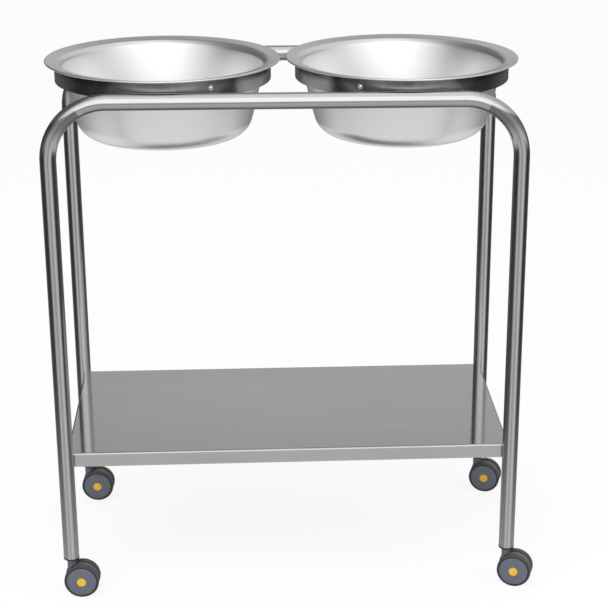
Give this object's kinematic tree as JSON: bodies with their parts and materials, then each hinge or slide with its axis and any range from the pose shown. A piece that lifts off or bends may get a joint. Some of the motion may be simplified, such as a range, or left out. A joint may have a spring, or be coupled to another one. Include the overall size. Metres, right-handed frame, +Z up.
{
  "type": "double basin stand",
  "caption": "Wheeled stand of bent steel tube with a low shelf and welded ring holders for lift-out stainless basins.",
  "frame": {"origin": "on the floor, at the middle of the whole footprint, casters included", "axes": "+Z up, +X along the stand to the right seen from the front, the front faces -Y"},
  "size_m": [0.7851, 0.4152, 0.857],
  "materials": {
    "tube_steel": "polished stainless tube",
    "ring_steel": "mill-finish stainless band",
    "basin_steel": "satin stainless sheet",
    "shelf_steel": "satin stainless sheet",
    "weld_steel": "brushed weld metal",
    "bright_steel": "bright turned steel",
    "grey_plastic": "moulded grey plastic",
    "tyre": "soft dark rubber",
    "yellow_plastic": "plain yellow cap",
    "black_plastic": "black moulded plug"
  },
  "bodies": {
    "frame": {"front_frame_tube": "tube_steel", "rear_frame_tube": "tube_steel", "ring_left": "ring_steel", "ring_right": "ring_steel", "ring_rivet_left": "bright_steel", "ring_rivet_right": "bright_steel", "ring_welds": "weld_steel", "shelf": "shelf_steel", "shelf_welds": "weld_steel", "caster_fl_plug": "black_plastic", "caster_fr_plug": "black_plastic", "caster_rl_plug": "black_plastic", "caster_rr_plug": "black_plastic"},
    "basin_left": {"basin_left": "basin_steel"},
    "basin_right": {"basin_right": "basin_steel"},
    "caster_fl": {"caster_fl_stem": "bright_steel", "caster_fl_hood": "grey_plastic", "caster_fl_axle": "bright_steel"},
    "caster_fl_left": {"caster_fl_wheel_left": "grey_plastic", "caster_fl_tyre_left": "tyre", "caster_fl_cap_left": "yellow_plastic"},
    "caster_fl_right": {"caster_fl_wheel_right": "grey_plastic", "caster_fl_tyre_right": "tyre", "caster_fl_cap_right": "yellow_plastic"},
    "caster_fr": {"caster_fr_stem": "bright_steel", "caster_fr_hood": "grey_plastic", "caster_fr_axle": "bright_steel"},
    "caster_fr_left": {"caster_fr_wheel_left": "grey_plastic", "caster_fr_tyre_left": "tyre", "caster_fr_cap_left": "yellow_plastic"},
    "caster_fr_right": {"caster_fr_wheel_right": "grey_plastic", "caster_fr_tyre_right": "tyre", "caster_fr_cap_right": "yellow_plastic"},
    "caster_rl": {"caster_rl_stem": "bright_steel", "caster_rl_hood": "grey_plastic", "caster_rl_axle": "bright_steel"},
    "caster_rl_left": {"caster_rl_wheel_left": "grey_plastic", "caster_rl_tyre_left": "tyre", "caster_rl_cap_left": "yellow_plastic"},
    "caster_rl_right": {"caster_rl_wheel_right": "grey_plastic", "caster_rl_tyre_right": "tyre", "caster_rl_cap_right": "yellow_plastic"},
    "caster_rr": {"caster_rr_stem": "bright_steel", "caster_rr_hood": "grey_plastic", "caster_rr_axle": "bright_steel"},
    "caster_rr_left": {"caster_rr_wheel_left": "grey_plastic", "caster_rr_tyre_left": "tyre", "caster_rr_cap_left": "yellow_plastic"},
    "caster_rr_right": {"caster_rr_wheel_right": "grey_plastic", "caster_rr_tyre_right": "tyre", "caster_rr_cap_right": "yellow_plastic"}
  },
  "joints": [
    {"name": "basin_left_lift", "type": "slide", "parent": "frame", "child": "basin_left", "axis": [0, 0, 1], "range_m": [0, 0.15]},
    {"name": "basin_right_lift", "type": "slide", "parent": "frame", "child": "basin_right", "axis": [0, 0, 1], "range_m": [0, 0.15]},
    {"name": "caster_fl_swivel", "type": "hinge", "parent": "frame", "child": "caster_fl", "pos_m": [-0.3766, -0.1795, 0.0654], "axis": [0, 0, 1], "continuous": true},
    {"name": "caster_fl_spin_left", "type": "hinge", "parent": "caster_fl", "child": "caster_fl_left", "pos_m": [-0.36061, -0.18006, 0.0285], "axis": [-0.0349, -0.9994, 0], "continuous": true},
    {"name": "caster_fl_spin_right", "type": "hinge", "parent": "caster_fl", "child": "caster_fl_right", "pos_m": [-0.36061, -0.18006, 0.0285], "axis": [-0.0349, -0.9994, 0], "continuous": true},
    {"name": "caster_fr_swivel", "type": "hinge", "parent": "frame", "child": "caster_fr", "pos_m": [0.3454, -0.1795, 0.0654], "axis": [0, 0, 1], "continuous": true},
    {"name": "caster_fr_spin_left", "type": "hinge", "parent": "caster_fr", "child": "caster_fr_left", "pos_m": [0.36062, -0.18444, 0.0285], "axis": [-0.309, -0.9511, 0], "continuous": true},
    {"name": "caster_fr_spin_right", "type": "hinge", "parent": "caster_fr", "child": "caster_fr_right", "pos_m": [0.36062, -0.18444, 0.0285], "axis": [-0.309, -0.9511, 0], "continuous": true},
    {"name": "caster_rl_swivel", "type": "hinge", "parent": "frame", "child": "caster_rl", "pos_m": [-0.3766, 0.1895, 0.0654], "axis": [0, 0, 1], "continuous": true},
    {"name": "caster_rl_spin_left", "type": "hinge", "parent": "caster_rl", "child": "caster_rl_left", "pos_m": [-0.36062, 0.18866, 0.0285], "axis": [-0.0523, -0.9986, 0], "continuous": true},
    {"name": "caster_rl_spin_right", "type": "hinge", "parent": "caster_rl", "child": "caster_rl_right", "pos_m": [-0.36062, 0.18866, 0.0285], "axis": [-0.0523, -0.9986, 0], "continuous": true},
    {"name": "caster_rr_swivel", "type": "hinge", "parent": "frame", "child": "caster_rr", "pos_m": [0.3454, 0.1895, 0.0654], "axis": [0, 0, 1], "continuous": true},
    {"name": "caster_rr_spin_left", "type": "hinge", "parent": "caster_rr", "child": "caster_rr_left", "pos_m": [0.3607, 0.18482, 0.0285], "axis": [-0.2924, -0.9563, 0], "continuous": true},
    {"name": "caster_rr_spin_right", "type": "hinge", "parent": "caster_rr", "child": "caster_rr_right", "pos_m": [0.3607, 0.18482, 0.0285], "axis": [-0.2924, -0.9563, 0], "continuous": true}
  ]
}
